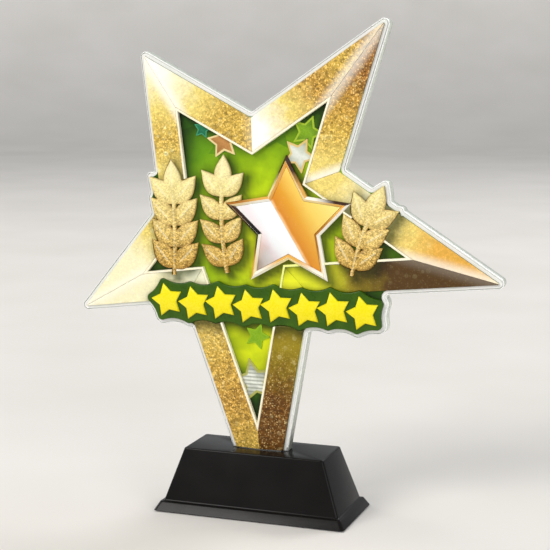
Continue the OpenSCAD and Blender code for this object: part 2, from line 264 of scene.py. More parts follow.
def mix(material, factor, a, b, blend="MIX"):
    """Colour a turns into colour b as the factor goes from 0 to 1"""
    made = add_node(material, "ShaderNodeMix", {"Factor": factor}, data_type="RGBA", blend_type=blend)
    for socket, value in ((made.inputs[6], a), (made.inputs[7], b)):
        if isinstance(value, bpy.types.NodeSocket):
            material.node_tree.links.new(value, socket)
        else:
            socket.default_value = value
    return made.outputs[2]


def facing(material):
    """The way that the surface faces, as X, Y and Z"""
    normal = add_node(material, "ShaderNodeNewGeometry").outputs["True Normal"]
    return add_node(material, "ShaderNodeSeparateXYZ", {0: normal}).outputs


acrylic, acrylic_shader = new_material("clear_acrylic", {
    "Base Color": (0.93, 0.965, 0.93, 1), "IOR": 1.49, "Transmission Weight": 1.0})
smudges = levels(acrylic, noise(acrylic, 9 * MM, 4), [(0.45, 0.0), (0.8, 0.05)])
feed(acrylic, smudges, acrylic_shader, "Roughness")
bump(acrylic, acrylic_shader, noise(acrylic, 20 * MM, 1), 0.02, 0.3 * MM)

cut_edge, cut_shader = new_material("acrylic_cut_edge", {
    "IOR": 1.49, "Transmission Weight": 0.06, "Specular IOR Level": 0.4})
tilt = calc(cut_edge, "ABSOLUTE", facing(cut_edge)["Y"])
edge_tone_and_painted_highlight = ramp(cut_edge, noise(cut_edge, 9 * MM), [(0.3, "c6ccbf"), (0.7, "d6dccf")]).outputs["Color"]
# Painted highlight: the eased faces that lean toward the front are painted near white
edge_tone_and_painted_highlight = mix(cut_edge, levels(cut_edge, tilt, [(0.15, 0.0), (0.35, 1.0)]), edge_tone_and_painted_highlight, rgb("fdfdfb"))
feed(cut_edge, edge_tone_and_painted_highlight, cut_shader, "Base Color")
gloss(cut_edge, cut_shader, 5 * MM, 0.22, 0.34)
bump(cut_edge, cut_shader, noise(cut_edge, 8 * MM, 1), 0.05, 0.05 * MM)

shape = from_cad("star_plaque")
ease(shape, outline(shape, front=True, back=True), EASED_EDGE)
shape.normal_update()
for f in shape.faces:
    f.material_index = 0 if abs(f.normal.y) > 0.99 else 1
sheet = show("acrylic_star", shape, acrylic)
sheet.data.materials.append(cut_edge)
fit(sheet, "clear_acrylic", "star_plaque")


# ---- White film ----
# A white vinyl film laminated to the front of the acrylic, just inside its edge. It backs the green
# and gold art and shows as a fine pale rim round it.
FILM_SINK = 0.02 * MM

film, film_shader = new_material("white_vinyl", {"Specular IOR Level": 0.3})
film_tone = ramp(film, noise(film, 7 * MM), [(0.3, "e6e9e2"), (0.7, "f2efee")])
feed(film, film_tone.outputs["Color"], film_shader, "Base Color")
gloss(film, film_shader, 1.2 * MM, 0.28, 0.4)
bump(film, film_shader, noise(film, 0.5 * MM), 0.1, 0.02 * MM)

shape = from_cad("white_film")
back_y = max(v.co.y for v in shape.verts)
for v in shape.verts:
    if v.co.y > back_y - 0.01 * MM:
        v.co.y += FILM_SINK
fit(show("white_backing_film", shape, film), "white_film", "white_film")


# ---- Green foil ----
# A printed foil card on the white film. Its green clouds are lime in the middle and almost black at
# the corners, with faint stars, and the raised pieces throw a soft printed shadow on it.
SHADOW_SHIFT = Vector((1.9 * MM, 0, -1.7 * MM))
SHADOW_REACH = 5 * MM
NEARNESS_FADE = 1.6
CUT_STEP = 1.6 * MM
# Where a light glows in the print, in mm across and up, and the width of its ray
GLOW = (14, 97)
RAY_W = 5
# The depth at which glows in the print are centred
GLOW_Y = -3 * MM
# The bare green patches behind the two ends of the banner
BANNER_ENDS = ((49, 89), (-42, 88))
# Faint printed stars: middle, radius, turn
FAINT_STARS = (((-27, 158), 9, 80), ((-17, 145), 5, 60), ((37, 163), 10, 105), ((27, 150), 6, 75),
               ((7, 152), 8, 20), ((12, 60), 7, 50))


def flat_tree(*nodes):
    """The front outlines of some CAD nodes, laid flat, for measuring the distance to them"""
    flat = bmesh.new()
    for node in nodes:
        flat.from_mesh(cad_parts[node].data)
    for v in flat.verts:
        v.co.y = 0
    tree = BVHTree.FromBMesh(flat)
    flat.free()
    return tree


raised = flat_tree("sprig_left", "sprig_middle", "sprig_right", "centre_star_rim", "centre_face_silver",
                   "centre_face_gold", "banner_plate")


def cut_grid(shape, step):
    """Cuts a piece by a square grid, seen from the front"""
    for axis in (Vector((1, 0, 0)), Vector((0, 0, 1))):
        reach = [v.co.dot(axis) for v in shape.verts]
        for k in range(math.ceil(min(reach) / step), math.floor(max(reach) / step) + 1):
            everything = shape.verts[:] + shape.edges[:] + shape.faces[:]
            bmesh.ops.bisect_plane(shape, geom=everything, plane_co=axis * k * step, plane_no=axis,
                                   dist=0.001 * MM)


def keep_nearness(shape, name, tree, shift, reach):
    """Stores how near each point, moved back by the shift, is to the outlines in a tree, from 0 to 1"""
    layer = shape.verts.layers.float.new(name)
    for v in shape.verts:
        spot = Vector((v.co.x, 0, v.co.z)) - shift
        v[layer] = max(0.0, 1 - tree.find_nearest(spot)[3] / reach) ** NEARNESS_FADE


def drift(material, value, size, amount, detail=2.0):
    """Pushes a value up and down by clouds of that size"""
    clouds = calc(material, "SUBTRACT", noise(material, size, detail), 0.5)
    return calc(material, "ADD", value, calc(material, "MULTIPLY", clouds, amount))


def distance_from(material, middle, wobble=0.0, size=14):
    """Distance in mm from a spot given in mm across and up, blurred by clouds of that wobble"""
    spot = (middle[0] * MM, GLOW_Y, middle[1] * MM)
    inputs = {0: place(material), 1: spot}
    away = add_node(material, "ShaderNodeVectorMath", inputs, operation="DISTANCE").outputs["Value"]
    away = calc(material, "MULTIPLY", away, 1 / MM)
    if wobble:
        away = drift(material, away, size * MM, 2 * wobble, 4)
    return away


def star_depth(material, middle, radius, turn, ratio=0.5):
    """For a star printed there: 0 in its middle, 1 on its outline, more outside it"""
    spot = (middle[0] * MM, 0, middle[1] * MM)
    inputs = {0: place(material), 1: spot}
    offset = add_node(material, "ShaderNodeVectorMath", inputs, operation="SUBTRACT").outputs[0]
    parts = add_node(material, "ShaderNodeSeparateXYZ", {0: offset}).outputs
    angle = calc(material, "ARCTAN2", parts["Z"], parts["X"])
    angle = calc(material, "SUBTRACT", angle, math.radians(turn))
    folded = calc(material, "PINGPONG", angle, math.radians(36))
    lean = math.atan2(1 - ratio * math.cos(math.radians(36)), ratio * math.sin(math.radians(36)))
    across, up = (calc(material, "POWER", parts[axis], 2.0) for axis in "XZ")
    reach = calc(material, "SQRT", calc(material, "ADD", across, up))
    toward = calc(material, "COSINE", calc(material, "SUBTRACT", folded, lean))
    return calc(material, "MULTIPLY", calc(material, "MULTIPLY", reach, toward),
                1 / (radius * MM * math.cos(lean)))


def shadowed(material, colour, tint, strength):
    """Darkens a printed colour where the raised pieces throw their shadow"""
    depth = add_node(material, "ShaderNodeAttribute", attribute_name="shadow").outputs["Fac"]
    return mix(material, calc(material, "MULTIPLY", depth, strength), colour, rgb(tint), "MULTIPLY")


def along(material, start, end):
    """0 at one spot and 1 at another, both given in mm across and up"""
    step = Vector((end[0] - start[0], 0, end[1] - start[1])) * MM
    step = step / step.length_squared
    inputs = {0: place(material), 1: step}
    reach = add_node(material, "ShaderNodeVectorMath", inputs, operation="DOT_PRODUCT").outputs["Value"]
    return calc(material, "SUBTRACT", reach, step.dot(Vector((start[0], 0, start[1])) * MM))


def tint_round(material, colour, middle, tint, stops, wobble=2.0):
    """Mixes a colour toward a tint round a spot, a painted glow where the tint is light: a stop is a
    distance in mm and a strength
    """
    away = calc(material, "MULTIPLY", distance_from(material, middle, wobble, 6), 1 / 100)
    strength = levels(material, away, [(d / 100, s) for d, s in stops], smooth=True)
    return mix(material, strength, colour, rgb(tint))


foil, foil_shader = new_material("green_foil_card", {"Specular IOR Level": 0.2})
away = calc(foil, "MULTIPLY", distance_from(foil, (8, 104), 7, 15), 1 / 100)
foil_tone = ramp(foil, away, [
    (0.0, "f0f22c"), (0.09, "dde61c"), (0.2, "c4da10"), (0.32, "b0cf0c"), (0.42, "8fb80c"), (0.5, "62930e"),
    (0.6, "3c6a10"), (0.8, "1e3e0a")]).outputs["Color"]
foil_tone = tint_round(foil, foil_tone, (2, 71), "dbe414", [(0, 1.0), (10, 0.85), (24, 0.0)], 4)
clouds = levels(foil, noise(foil, 9 * MM, 5), [(0.42, 0.0), (0.62, 1.0)])
foil_tone = mix(foil, calc(foil, "MULTIPLY", clouds, 0.3), foil_tone, rgb("4f8a10"), "MULTIPLY")
for middle, radius, turn in FAINT_STARS:
    inside = levels(foil, star_depth(foil, middle, radius, turn), [(0.0, 0.35), (0.93, 0.5), (0.99, 0.0)])
    foil_tone = mix(foil, inside, foil_tone, rgb("3f7a10"))
# Painted shade: the green darkens next to the inner strip, the more so away from the glow
trim_shade_nearness = add_node(foil, "ShaderNodeAttribute", attribute_name="rim").outputs["Fac"]
far = levels(foil, away, [(0.34, 0.0), (0.55, 0.9)])
foil_tone = mix(foil, calc(foil, "MULTIPLY", trim_shade_nearness, far), foil_tone, rgb("1a3006"), "MULTIPLY")
ray = calc(foil, "ABSOLUTE", along(foil, GLOW, (GLOW[0] + RAY_W, GLOW[1])))
ray = calc(foil, "MULTIPLY", levels(foil, ray, [(0.0, 0.6), (0.3, 0.0)]),
           levels(foil, away, [(0.0, 1.0), (0.16, 0.0)]))
foil_tone = mix(foil, ray, foil_tone, rgb("fbfbb0"))
for middle in BANNER_ENDS:
    foil_tone = tint_round(foil, foil_tone, middle, "2b4e04", [(0, 1.0), (6, 1.0), (9, 0.0)])
foil_tone = shadowed(foil, foil_tone, "1c3a0a", 0.85)
feed(foil, foil_tone, foil_shader, "Base Color")
gloss(foil, foil_shader, 3 * MM, 0.3, 0.45)
bump(foil, foil_shader, noise(foil, 2 * MM, 3), 0.15, 0.03 * MM)

shape = from_cad("green_foil")
cut_grid(shape, CUT_STEP)
keep_nearness(shape, "shadow", raised, SHADOW_SHIFT, SHADOW_REACH)
# Nearness to the inner strip, for the painted shade beside it
keep_nearness(shape, "rim", flat_tree("inner_trim"), Vector(), 8 * MM)
fit(show("green_foil_card", shape, foil), "green_foil", "green_foil")


# ---- Gold frame ----
# Ten gold glitter bars with mitred ends run round the star, each low at its outer edge and higher at
# its inner one. Their print is painted light and shade, running from white light at the upper left to
# smoky brown shade on the right.

# Star corners in mm, clockwise from the upper left tip, as a bar runs from each to the next
CORNERS = [(-50.9, 184.4), (-3.5, 159.5), (53.3, 198.4), (34.7, 138.2), (101.0, 95.8),
           (22.4, 87.7), (4.3, -17.7), (-32.7, 82.9), (-80.6, 76.8), (-43.3, 122.6)]
# The golds of the print, and how much of each is glitter
GOLDS = {"white": ("fffdf4", 0.0), "cream": ("f6efc4", 0.1), "straw": ("f0d878", 0.35),
         "gold": ("dcb650", 0.9), "satin": ("e6ae48", 0.2), "amber": ("ca9a40", 1.0),
         "bronze": ("a87232", 1.0), "rust": ("74480f", 0.9), "smoke": ("523814", 0.1),
         "moss": ("988418", 0.2), "lime": ("c0c828", 0.0)}
# The golds along each bar, evenly spaced from its first corner to its next
BAR_GOLDS = ["white white cream straw gold gold", "white straw amber gold amber gold",
             "gold bronze bronze amber gold straw", "straw cream straw satin satin straw",
             "smoke smoke smoke smoke moss lime", "moss moss rust rust amber amber",
             "straw straw gold amber gold straw", "cream cream cream cream cream white",
             "white cream cream cream straw gold", "straw straw gold straw cream white"]
# How strongly soft round spots of light show on each bar
BOKEH = [0.25, 0.1, 0.25, 0.15, 0.05, 0.2, 0.2, 0.5, 0.5, 0.7]
# White light along the mitres at the start and the end of each bar, and how far it spreads
MITRES = [(0.8, 0.15), (0.9, 0.55), (0.5, 0.85), (0.0, 0.65), (0.1, 0.0),
          (0.0, 0.0), (0.0, 0.0), (0.0, 0.5), (0.5, 0.1), (0.1, 0.8)]
MITRE_SPREAD = 4.5 * MM
# A second, paler glow near the feet of the two sprigs on the left
PALE_GLOW = (-24, 95)


def brighten(material, colour, times):
    """A colour made that many times as bright"""
    inputs = {0: colour, "Scale": times}
    return add_node(material, "ShaderNodeVectorMath", inputs, operation="SCALE").outputs[0]


def cells(material, size):
    """Random grains: a number from 0 to 1 for each grain, and how far a point is from its middle"""
    made = add_node(material, "ShaderNodeTexVoronoi", {"Vector": place(material), "Scale": 1 / size})
    number = add_node(material, "ShaderNodeSeparateColor", {"Color": made.outputs["Color"]}).outputs["Red"]
    return number, made.outputs["Distance"]


def glitter(material, colour, amount, size=0.85 * MM):
    """Breaks a colour up into light and dark grains, with painted glints as bright specks between them"""
    number, away = cells(material, size)
    fine_number, fine_away = cells(material, 0.55 * size)
    light = calc(material, "MULTIPLY", levels(material, number, [(0.0, 0.42), (0.5, 0.84), (1.0, 1.15)]),
                 levels(material, fine_number, [(0.0, 0.72), (0.6, 1.0), (1.0, 1.3)]))
    grain = brighten(material, colour, light)
    # The colour of the painted glints
    bright = mix(material, 0.6, brighten(material, colour, 1.9), rgb("fff0ac"))
    for chance, spot in ((number, away), (fine_number, fine_away)):
        painted_glint = calc(material, "MULTIPLY", levels(material, chance, [(0.62, 0.0), (0.78, 0.95)]),
                     levels(material, spot, [(0.15, 1.0), (0.42, 0.0)]))
        grain = mix(material, painted_glint, grain, bright)
    return mix(material, amount, colour, grain)


def mitre_light(material, colour, corner, strength):
    """A band of white light along the mitre at a corner of the star"""
    before, here, after = (Vector(CORNERS[(corner + k) % 10]) for k in (-1, 0, 1))
    way = (here - before).normalized() - (after - here).normalized()
    beside = here + Vector((-way.y, way.x)).normalized()
    away = calc(material, "ABSOLUTE", along(material, here, beside))
    away = calc(material, "MULTIPLY", away, MM / MITRE_SPREAD)
    light = levels(material, away, [(0.0, strength), (1.0, 0.0)], smooth=True)
    return mix(material, light, colour, rgb("fffbee"))


for number, golds in enumerate(BAR_GOLDS):
    names = golds.split()
    stops = [(k / (len(names) - 1), *GOLDS[name]) for k, name in enumerate(names)]
    gold, gold_shader = new_material(f"gold_glitter_{number + 1}", {"Specular IOR Level": 0.25})
    run = along(gold, CORNERS[number], CORNERS[(number + 1) % 10])
    run = drift(gold, run, 4 * MM, 0.16, 3)
    # The golds paint light on the bars at the upper left and shade on the bars at the right
    base = ramp(gold, run, stops)
    tone = base.outputs["Color"]
    disc_number, disc_away = cells(gold, 3 * MM)
    disc = calc(gold, "MULTIPLY", levels(gold, disc_away, [(0.28, 1.0), (0.36, 0.0)]),
                levels(gold, disc_number, [(0.45, 0.0), (1.0, BOKEH[number])]))
    tone = mix(gold, disc, tone, rgb("fff3b4"), "SCREEN")
    tone = glitter(gold, tone, base.outputs["Alpha"])
    for corner, strength in zip((number, number + 1), MITRES[number]):
        if strength:
            tone = mitre_light(gold, tone, corner, strength)
    tone = tint_round(gold, tone, GLOW, "e9ec28", [(0, 1.0), (9, 0.9), (26, 0.0)])
    tone = tint_round(gold, tone, PALE_GLOW, "fbfde0", [(0, 0.9), (14, 0.0)])
    tone = shadowed(gold, tone, "3a4a10", 0.85)
    feed(gold, tone, gold_shader, "Base Color")
    gloss(gold, gold_shader, 0.8 * MM, 0.3, 0.5)
    bump(gold, gold_shader, cells(gold, 0.85 * MM)[0], 0.35, 0.04 * MM)
    node = f"frame_bar_{number + 1}"
    shape = from_cad(node)
    ease(shape, outline(shape), 0.12 * MM, 1)
    cut_grid(shape, CUT_STEP)
    keep_nearness(shape, "shadow", raised, SHADOW_SHIFT, SHADOW_REACH)
    fit(show(f"gold_bar_{number + 1}", shape, gold), "glitter_gold", node)


# ---- Inner strip ----
# A narrow strip of pearl foil on edge follows the inside of the gold frame and parts it from the
# green. It stands a little higher than the bars and its top is eased.
pearl, pearl_shader = new_material("pearl_strip", {"Specular IOR Level": 0.4})
pearl_tone = ramp(pearl, noise(pearl, 5 * MM, 3), [(0.3, "f3e7bc"), (0.55, "fcf6de"), (0.75, "f8edc6")])
pearl_tone = tint_round(pearl, pearl_tone.outputs["Color"], GLOW, "eaf46a", [(0, 0.8), (26, 0.0)])
feed(pearl, pearl_tone, pearl_shader, "Base Color")
gloss(pearl, pearl_shader, 1 * MM, 0.2, 0.38)
bump(pearl, pearl_shader, noise(pearl, 0.7 * MM), 0.15, 0.03 * MM)

shape = from_cad("inner_trim")
ease(shape, outline(shape), 0.15 * MM)
fit(show("pearl_inner_strip", shape, pearl), "cream_trim", "inner_trim")


# ---- Accent stars ----
# Six small stars punched from coloured foil are laid in the green field, tucked under the larger
# pieces. Each has a thin outline in a tone of its own.

# Middle and radius in mm, turn, slot, dark and light tone of a painted sheen, and tone of the outline
ACCENTS = {
    "copper": ((-15, 148), 7.2, 98, "accent_copper", ("7a4a1c", "c08a4c"), "ecd79a"),
    "teal": ((-23.7, 152.7), 4.0, 80, "accent_teal", ("0c4a34", "1f7450"), "3f9a70"),
    "lime": ((19.7, 152.2), 7.0, 70, "accent_lime", ("466c0c", "7fa81c"), "a4c030"),
    "silver_top": ((16.4, 143.4), 7.4, 62, "accent_silver", ("8f9a80", "e4e8dc"), "e0c070"),
    "silver_low": ((-2.2, 53.2), 9.6, 104, "accent_silver", ("6c7460", "e8ebe0"), "a9a84a"),
    "green": ((-0.9, 71.4), 5.6, 72, "accent_green", ("6f9c0c", "84ac10"), "8cb414"),
}
# Height of a stripe's start on the low silver star, and the stripes' pitch
STRIPE_FOOT = 53
STRIPE_PITCH = 1.5
for name, (middle, radius, turn, slot, (dark, light), rim_tone) in ACCENTS.items():
    hue, hue_shader = new_material(f"foil_{name}", {"Specular IOR Level": 0.3})
    half_w = 0.5 * radius
    half_h = 0.7 * radius
    run = along(hue, (middle[0] - half_w, middle[1] - half_h), (middle[0] + half_w, middle[1] + half_h))
    run = drift(hue, run, 3 * MM, 0.5, 3)
    # Painted sheen: each star is light across its middle and dark at two opposite ends
    tone = ramp(hue, run, [(0.0, dark), (0.5, light), (1.0, dark)]).outputs["Color"]
    if name == "silver_low":
        stripe = along(hue, (0, STRIPE_FOOT), (0, STRIPE_FOOT + STRIPE_PITCH))
        band = calc(hue, "SINE", calc(hue, "MULTIPLY", stripe, 2 * math.pi))
        tone = mix(hue, levels(hue, band, [(0.0, 0.0), (0.5, 0.6)]), tone, rgb("7d8070"))
    edge = levels(hue, star_depth(hue, middle, radius, turn), [(0.72, 0.0), (0.8, 0.9)])
    tone = mix(hue, edge, tone, rgb(rim_tone))
    feed(hue, tone, hue_shader, "Base Color")
    gloss(hue, hue_shader, 0.7 * MM, 0.2, 0.36)
    bump(hue, hue_shader, noise(hue, 0.4 * MM), 0.2, 0.02 * MM)
    shape = from_cad(f"accent_{name}")
    ease(shape, outline(shape), 0.08 * MM, 1)
    fit(show(f"foil_star_{name}", shape, hue), slot, f"accent_{name}")


# ---- Laurel sprigs ----
# Three sprigs cast in gold resin, with crowned leaves, raised midribs and a round stem. Their paint
# is pale at the top and turns to granular gold at the foot.
LEAF_L = 14.4
LEAF_W = 7.8
STEM_W = 1.8
LEAF_SPREAD = 42
# Heights in mm: the flat backing, a leaf's crown, its veins and its midrib, the stem's side and its
# crown, and the height over the backing that counts as full relief
BACKING_H = 0.6
CROWN_H = 0.92
VEIN_H = 0.1
RIB_H = 0.26
STEM_SIDE_H = 0.9
STEM_CROWN_H = 0.85
RELIEF_H = 1.2
VEINS = 7
RIB_W = 0.42
RELIEF_STEP = 0.5 * MM
# Each sprig in mm: foot and tip of its stem, sideways bow, pairs of leaves, size of the leaves
SPRIGS = {
    "left": ((-36.0, 94.4), (-37.4, 140.6), -0.8, 4, 1.03),
    "middle": ((-13.4, 96.2), (-14.1, 143.0), 2.0, 4, 0.92),
    "right": ((38.0, 97.7), (51.4, 132.3), 1.8, 3, 1.0),
}


def stem_at(sprig, s):
    """The stem's point at a share of its way from foot to tip, in mm"""
    foot, tip, bow, _, _ = sprig
    run = Vector(tip) - Vector(foot)
    side = Vector((-run.y, run.x)).normalized()
    return Vector(foot) + s * run + 4 * s * (1 - s) * bow * side


def stem_way(sprig, s):
    """The direction of the stem there"""
    return (stem_at(sprig, s + 0.01) - stem_at(sprig, s - 0.01)).normalized()


def leaves_of(sprig):
    """Stalk, direction and size of each leaf"""
    foot, tip, _, pairs, size = sprig
    last = 1 - LEAF_L * size / (Vector(tip) - Vector(foot)).length
    found = []
    for p in range(pairs):
        s = last * (p + 0.3) / (pairs - 0.35)
        for side in (-1, 1):
            angle = math.radians(side * LEAF_SPREAD)
            way = stem_way(sprig, s)
            turned = Vector((way.x * math.cos(angle) - way.y * math.sin(angle),
                             way.x * math.sin(angle) + way.y * math.cos(angle)))
            found.append((stem_at(sprig, s), turned, size))
    found.append((stem_at(sprig, last), stem_way(sprig, last), size))
    return found, last


def leaf_height(point, leaf):
    """Height of a leaf's front above its back at a point, in mm; 0 outside the leaf"""
    stalk, way, size = leaf
    offset = point - stalk
    s = offset.dot(way) / (LEAF_L * size)
    d = abs(offset.x * way.y - offset.y * way.x)
    if not 0 < s < 1:
        return 0.0
    half = LEAF_W * size / 2 * math.sin(math.pi * s ** 0.8)
    if d >= half + 0.05:
        return 0.0
    t = min(1.0, d / max(half, 0.05))
    crown = (1 - t * t) ** 0.7
    vein = VEIN_H * math.cos(2 * math.pi * (s * VEINS - 0.9 * t)) * min(1, 4 * t) * (1 - t)
    rib = RIB_H * math.exp(-(d / RIB_W) ** 2)
    return BACKING_H + CROWN_H * crown * min(1, 3 * s, 4 * (1 - s)) ** 0.5 + rib + vein


def stem_height(point, sprig, last):
    """Height of the round stem there, in mm; 0 beside it"""
    d = min((point - stem_at(sprig, last * k / 24)).length for k in range(25))
    if d > STEM_W / 2:
        return 0.0
    return STEM_SIDE_H + STEM_CROWN_H * math.sqrt(max(0.0, 1 - (2 * d / STEM_W) ** 2))


resin, resin_shader = new_material("gold_resin", {"Specular IOR Level": 0.25})
rise = along(resin, (0, 94), (0, 143))
rise = drift(resin, rise, 7 * MM, 0.25, 3)
resin_base = ramp(resin, rise, [(0.0, "cfa044", 1.0), (0.25, "e0ba60", 0.95), (0.5, "efd482", 0.7),
                                (0.75, "f8e9a0", 0.35), (1.0, "fdf2bc", 0.15)])
resin_tone = glitter(resin, resin_base.outputs["Color"], resin_base.outputs["Alpha"], 0.6 * MM)
relief = add_node(resin, "ShaderNodeAttribute", attribute_name="relief").outputs["Fac"]
# Painted shade in the low parts of the relief and a painted highlight on its crests
painted_hollow_shade = levels(resin, relief, [(0.0, 0.6), (0.4, 0.1), (0.8, 0.0)])
resin_tone = mix(resin, painted_hollow_shade, resin_tone, rgb("9a6c24"), "MULTIPLY")
painted_crest_highlight = levels(resin, relief, [(0.8, 0.0), (0.98, 0.5)])
resin_tone = mix(resin, painted_crest_highlight, resin_tone, rgb("fff6d0"))
feed(resin, resin_tone, resin_shader, "Base Color")
gloss(resin, resin_shader, 0.6 * MM, 0.35, 0.5)
bump(resin, resin_shader, noise(resin, 0.5 * MM, 3), 0.35, 0.06 * MM)

for name, sprig in SPRIGS.items():
    leaves, last = leaves_of(sprig)
    shape = from_cad(f"sprig_{name}")
    back_y = max(v.co.y for v in shape.verts)
    cut_grid(shape, RELIEF_STEP)
    front_y = min(v.co.y for v in shape.verts)
    layer = shape.verts.layers.float.new("relief")
    for v in shape.verts:
        if v.co.y < front_y + 0.01 * MM:
            point = Vector((v.co.x, v.co.z)) / MM
            heights = [leaf_height(point, leaf) for leaf in leaves]
            height = max(heights + [stem_height(point, sprig, last), BACKING_H])
            v.co.y = back_y - min(height * MM, back_y - front_y)
            v[layer] = (height - BACKING_H) / RELIEF_H
    fit(show(f"laurel_sprig_{name}", shape, resin, sharp=50), "sprig_gold", f"sprig_{name}")


# ---- Centre star ----
# A five-pointed star set proud of the art: a faceted rim of polished gold round two flat faces, one
# silver and one gold, that meet on a slanting line.
RIM_SLOPE = 0.93 * MM
PAINTED_RIM_TONES = {"pearl": "fffaec", "cream": "f7e3ae", "honey": "eab050", "copper": "b0701f", "umber": "3c1e0a",
          "black": "120a04"}
# Painted light and shade at tip and notch of each facet, by the way it faces, counted round from the right
FACET_LIGHT_AND_SHADE = ["pearl pearl", "umber honey", "umber black", "pearl honey", "umber pearl", "copper honey",
          "pearl honey", "honey copper", "umber cream", "honey black", "cream copper", "honey cream",
          "umber black", "pearl cream", "honey cream", "cream pearl", "pearl cream", "pearl pearl",
          "honey honey", "cream pearl"]
STAR_MIDDLE = (12.1, 116.4)

rim, rim_shader = new_material("polished_gold_rim", {"Coat Weight": 0.15, "Coat Roughness": 0.05})
faces = facing(rim)
turn = calc(rim, "DIVIDE", calc(rim, "ARCTAN2", faces["Z"], faces["X"]), 2 * math.pi)
turn = calc(rim, "FRACT", calc(rim, "ADD", turn, 0.995))
# Each facet's colour is painted light and shade, chosen by the way the facet faces
ends = []
for end in (0, 1):
    made = ramp(rim, turn, [(k / 20, PAINTED_RIM_TONES[FACET_LIGHT_AND_SHADE[k].split()[end]]) for k in range(20)])
    made.color_ramp.interpolation = "CONSTANT"
    ends.append(made.outputs["Color"])
out = calc(rim, "MULTIPLY", distance_from(rim, STAR_MIDDLE, 1, 5), 1 / 30)
rim_tone = mix(rim, levels(rim, out, [(0.5, 0.0), (0.7, 1.0)]), ends[1], ends[0])
feed(rim, rim_tone, rim_shader, "Base Color")
gloss(rim, rim_shader, 2 * MM, 0.12, 0.24)
bump(rim, rim_shader, noise(rim, 1.5 * MM, 2), 0.08, 0.03 * MM)

shape = from_cad("centre_star_rim")
ease(shape, outline(shape), RIM_SLOPE, 1)
fit(show("faceted_star_rim", shape, rim, sharp=12), "rim_gold", "centre_star_rim")

# The line between the faces runs at this angle; both prints run square to it
SPLIT = math.radians(-58.5)
across = Vector((-math.sin(SPLIT), math.cos(SPLIT)))
start = Vector(STAR_MIDDLE) - 1.2 * across

gold_face, gold_face_shader = new_material("satin_gold_face", {"Coat Weight": 0.12, "Coat Roughness": 0.05})
run = along(gold_face, start, start + 24 * across)
run = drift(gold_face, run, 8 * MM, 0.08)
# The pale cream along the split is a painted highlight on that edge; the rest runs orange to yellow
tone = ramp(gold_face, run, [(0.0, "ffd69a"), (0.05, "d88504"), (0.25, "e4a028"), (0.5, "f4cf5e"),
                             (1.0, "f4f08e")]).outputs["Color"]
feed(gold_face, tone, gold_face_shader, "Base Color")
gloss(gold_face, gold_face_shader, 3 * MM, 0.16, 0.28)
bump(gold_face, gold_face_shader, noise(gold_face, 1 * MM, 3), 0.05, 0.02 * MM)

silver_face, silver_face_shader = new_material("polished_silver_face", {
    "Coat Weight": 0.12, "Coat Roughness": 0.04})
run = along(silver_face, start, start - 24 * across)
# Painted shade: the silver turns pink-brown towards its far edge
tone = ramp(silver_face, run, [(0.0, "fbfbfc"), (0.3, "f0f3f5"), (0.42, "f3e9eb"), (0.55, "f0efed"),
                               (0.8, "e9dcc8"), (1.0, "cdb49a")]).outputs["Color"]
# Painted shade: dark brown at the lower left tip and pink-brown just above it
tone = tint_round(silver_face, tone, (-2, 100), "6a4434", [(0, 0.9), (6, 0.45), (14, 0.0)], 3)
tone = tint_round(silver_face, tone, (-2, 108), "f0b49c", [(0, 0.6), (8, 0.0)], 2)
feed(silver_face, tone, silver_face_shader, "Base Color")
gloss(silver_face, silver_face_shader, 3 * MM, 0.1, 0.2)
bump(silver_face, silver_face_shader, noise(silver_face, 1 * MM, 3), 0.05, 0.02 * MM)

for name, finish in (("silver", silver_face), ("gold", gold_face)):
    shape = from_cad(f"centre_face_{name}")
    ease(shape, outline(shape), 0.2 * MM)
    fit(show(f"star_face_{name}", shape, finish), f"polished_{name}", f"centre_face_{name}")


# ---- Banner ----
# A dark green plate with a wavy outline carries a row of eight puffed yellow stars. It is glued
# across the art below the sprigs.
plate, plate_shader = new_material("banner_enamel", {"Specular IOR Level": 0.25})
plate_tone = ramp(plate, noise(plate, 5 * MM, 3), [(0.3, "2b4e04"), (0.7, "3a5e06")])
feed(plate, plate_tone.outputs["Color"], plate_shader, "Base Color")
gloss(plate, plate_shader, 1.5 * MM, 0.25, 0.38)
bump(plate, plate_shader, noise(plate, 1 * MM, 3), 0.12, 0.03 * MM)

shape = from_cad("banner_plate")
ease(shape, outline(shape), 0.45 * MM, 3)
fit(show("banner_backing_plate", shape, plate), "banner_green", "banner_plate")

sunny, sunny_shader = new_material("yellow_enamel", {"Specular IOR Level": 0.3})
rise = along(sunny, (0, 78), (0, 90))
sunny_tone = ramp(sunny, rise, [(0.0, "ecd800"), (0.5, "f2e202"), (1.0, "f6ea10")]).outputs["Color"]
pale_spots = levels(sunny, noise(sunny, 2 * MM, 3), [(0.4, 0.0), (0.75, 0.2)])
sunny_tone = mix(sunny, pale_spots, sunny_tone, rgb("fff05a"))
feed(sunny, sunny_tone, sunny_shader, "Base Color")
gloss(sunny, sunny_shader, 1 * MM, 0.22, 0.34)
bump(sunny, sunny_shader, noise(sunny, 0.8 * MM, 3), 0.12, 0.03 * MM)

for number in range(1, 9):
    shape = from_cad(f"banner_star_{number}")
    ease(shape, outline(shape), 0.6 * MM, 4)
    fit(show(f"puffed_star_{number}", shape, sunny, sharp=60), "banner_yellow", f"banner_star_{number}")


# ---- Base shell ----
# One black injection moulding with a polished outside: four leaning sides on a low skirt, a flat top
# with a slot for the tongue, and a socket for it that hangs inside the hollow.
SKIRT_TOP = 3.95 * MM
SKIRT_LEAN = 2 * MM
LEDGE_W = 1.2 * MM
SHELL_TOP = Vector((58.5 * MM, 23.3 * MM))
SHELL_WALL = 2 * MM
SEAT_Z = 3.2 * MM
SEAT_W = 1.7 * MM
SOCKET_WALL = 1.5 * MM
SLOT_GAP = 0.1 * MM
HIP_R = 1.2 * MM
TOP_R = 0.5 * MM
COVE = 0.75 * MM
SKIRT_R = 0.35 * MM


